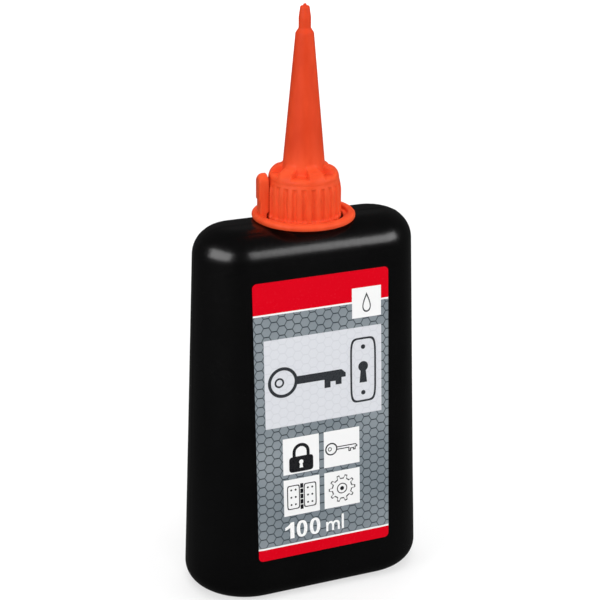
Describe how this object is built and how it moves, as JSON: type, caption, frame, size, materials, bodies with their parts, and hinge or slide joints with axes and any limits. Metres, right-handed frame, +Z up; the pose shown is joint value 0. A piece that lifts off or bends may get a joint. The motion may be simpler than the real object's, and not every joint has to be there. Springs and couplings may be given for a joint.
{
  "type": "squeeze bottle of graphite lock lubricant with a spout cap",
  "caption": "Flat squeeze bottle of graphite lubricant for locks, with a screw-on spout cap, closed nib and tear-off ring.",
  "frame": {"origin": "middle of the foot, on the plane it stands on; the closure's axis is x = y = 0", "axes": "+Z up along the spout, -Y out of the labelled front, +X to the right seen from the front"},
  "size_m": [0.0636, 0.0316, 0.1504],
  "materials": {
    "black_polyethylene": "blow-moulded, satin to semi-gloss",
    "graphite": "dark grey paste",
    "label_film": "printed gloss film",
    "foam_liner": "foamed sheet",
    "orange_polypropylene": "injection-moulded, satin"
  },
  "bodies": {
    "bottle": {"bottle": "black_polyethylene", "graphite_charge": "graphite", "front_label": "label_film", "rear_label": "label_film"},
    "gasket_carrier": {"neck_gasket": "foam_liner"},
    "spout_cap": {"spout_cap": "orange_polypropylene"},
    "tear_ring": {"tear_ring": "orange_polypropylene"}
  },
  "joints": [
    {"name": "cap_lift", "type": "slide", "parent": "bottle", "child": "gasket_carrier", "axis": [0, 0, 1], "range_m": [0, 0.0097]},
    {"name": "cap_turn", "type": "hinge", "parent": "gasket_carrier", "child": "spout_cap", "pos_m": [0, 0, 0.1081], "axis": [0, 0, 1], "range_deg": [0, 1080]},
    {"name": "ring_lift", "type": "slide", "parent": "bottle", "child": "tear_ring", "axis": [0, 0, 1], "range_m": [0, 0.0545]}
  ],
  "couplings": [
    {"joint": "cap_lift", "follows": "cap_turn", "m_per_rad": 0.0005093}
  ]
}
